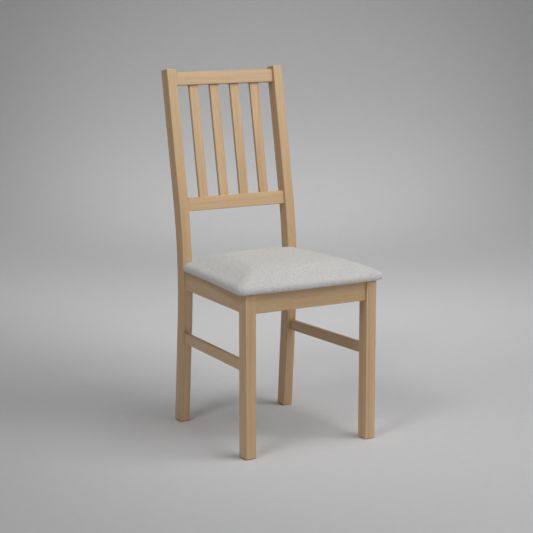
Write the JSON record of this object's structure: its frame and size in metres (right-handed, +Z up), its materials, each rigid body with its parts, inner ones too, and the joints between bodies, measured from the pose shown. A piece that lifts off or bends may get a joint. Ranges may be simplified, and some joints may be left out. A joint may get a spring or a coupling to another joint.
{
  "type": "dining chair",
  "caption": "Slat-back wooden dining chair with raked back posts, side stretchers and an upholstered seat pad in woven fabric.",
  "frame": {"origin": "on the floor, under the middle of the bounding box", "axes": "+Z up, -Y towards the front of the seat, +X to the right as seen from the front"},
  "size_m": [0.4398, 0.5034, 0.96],
  "materials": {
    "oak": "satin clear lacquer on light oak",
    "birch": "raw plywood and glued blocks",
    "beech": "raw turned dowel",
    "seat_fabric": "light grey melange plain weave",
    "foam": "cut upholstery foam",
    "dust_fleece": "matt black non-woven lining",
    "screw_steel": "zinc plated",
    "glide_plastic": "dark brown moulded plastic"
  },
  "bodies": {
    "root": {"crest_rail": "oak", "lower_back_rail": "oak", "slat_1": "oak", "slat_2": "oak", "slat_3": "oak", "slat_4": "oak", "front_leg_left": "oak", "back_post_left": "oak", "side_rail_left": "oak", "stretcher_left": "oak", "front_leg_right": "oak", "back_post_right": "oak", "side_rail_right": "oak", "stretcher_right": "oak", "front_rail": "oak", "rear_rail": "oak", "dowel_front_rail_left_lower": "beech", "dowel_rear_rail_left_lower": "beech", "dowel_front_rail_left_upper": "beech", "dowel_rear_rail_left_upper": "beech", "dowel_side_rail_left_lower_front": "beech", "dowel_side_rail_left_lower_rear": "beech", "dowel_side_rail_left_upper_front": "beech", "dowel_side_rail_left_upper_rear": "beech", "dowel_front_rail_right_lower": "beech", "dowel_rear_rail_right_lower": "beech", "dowel_front_rail_right_upper": "beech", "dowel_rear_rail_right_upper": "beech", "dowel_side_rail_right_lower_front": "beech", "dowel_side_rail_right_lower_rear": "beech", "dowel_side_rail_right_upper_front": "beech", "dowel_side_rail_right_upper_rear": "beech", "block_screw_front_left_cross": "screw_steel", "block_screw_front_left_side": "screw_steel", "corner_block_front_left": "birch", "seat_screw_front_left": "screw_steel", "block_screw_rear_left_cross": "screw_steel", "block_screw_rear_left_side": "screw_steel", "corner_block_rear_left": "birch", "seat_screw_rear_left": "screw_steel", "block_screw_front_right_cross": "screw_steel", "block_screw_front_right_side": "screw_steel", "corner_block_front_right": "birch", "seat_screw_front_right": "screw_steel", "block_screw_rear_right_cross": "screw_steel", "block_screw_rear_right_side": "screw_steel", "corner_block_rear_right": "birch", "seat_screw_rear_right": "screw_steel", "glide_front_left": "glide_plastic", "glide_rear_left": "glide_plastic", "glide_front_right": "glide_plastic", "glide_rear_right": "glide_plastic", "seat_cover": "seat_fabric", "seat_foam": "foam", "seat_board": "birch", "dust_cover": "dust_fleece"}
  },
  "joints": []
}
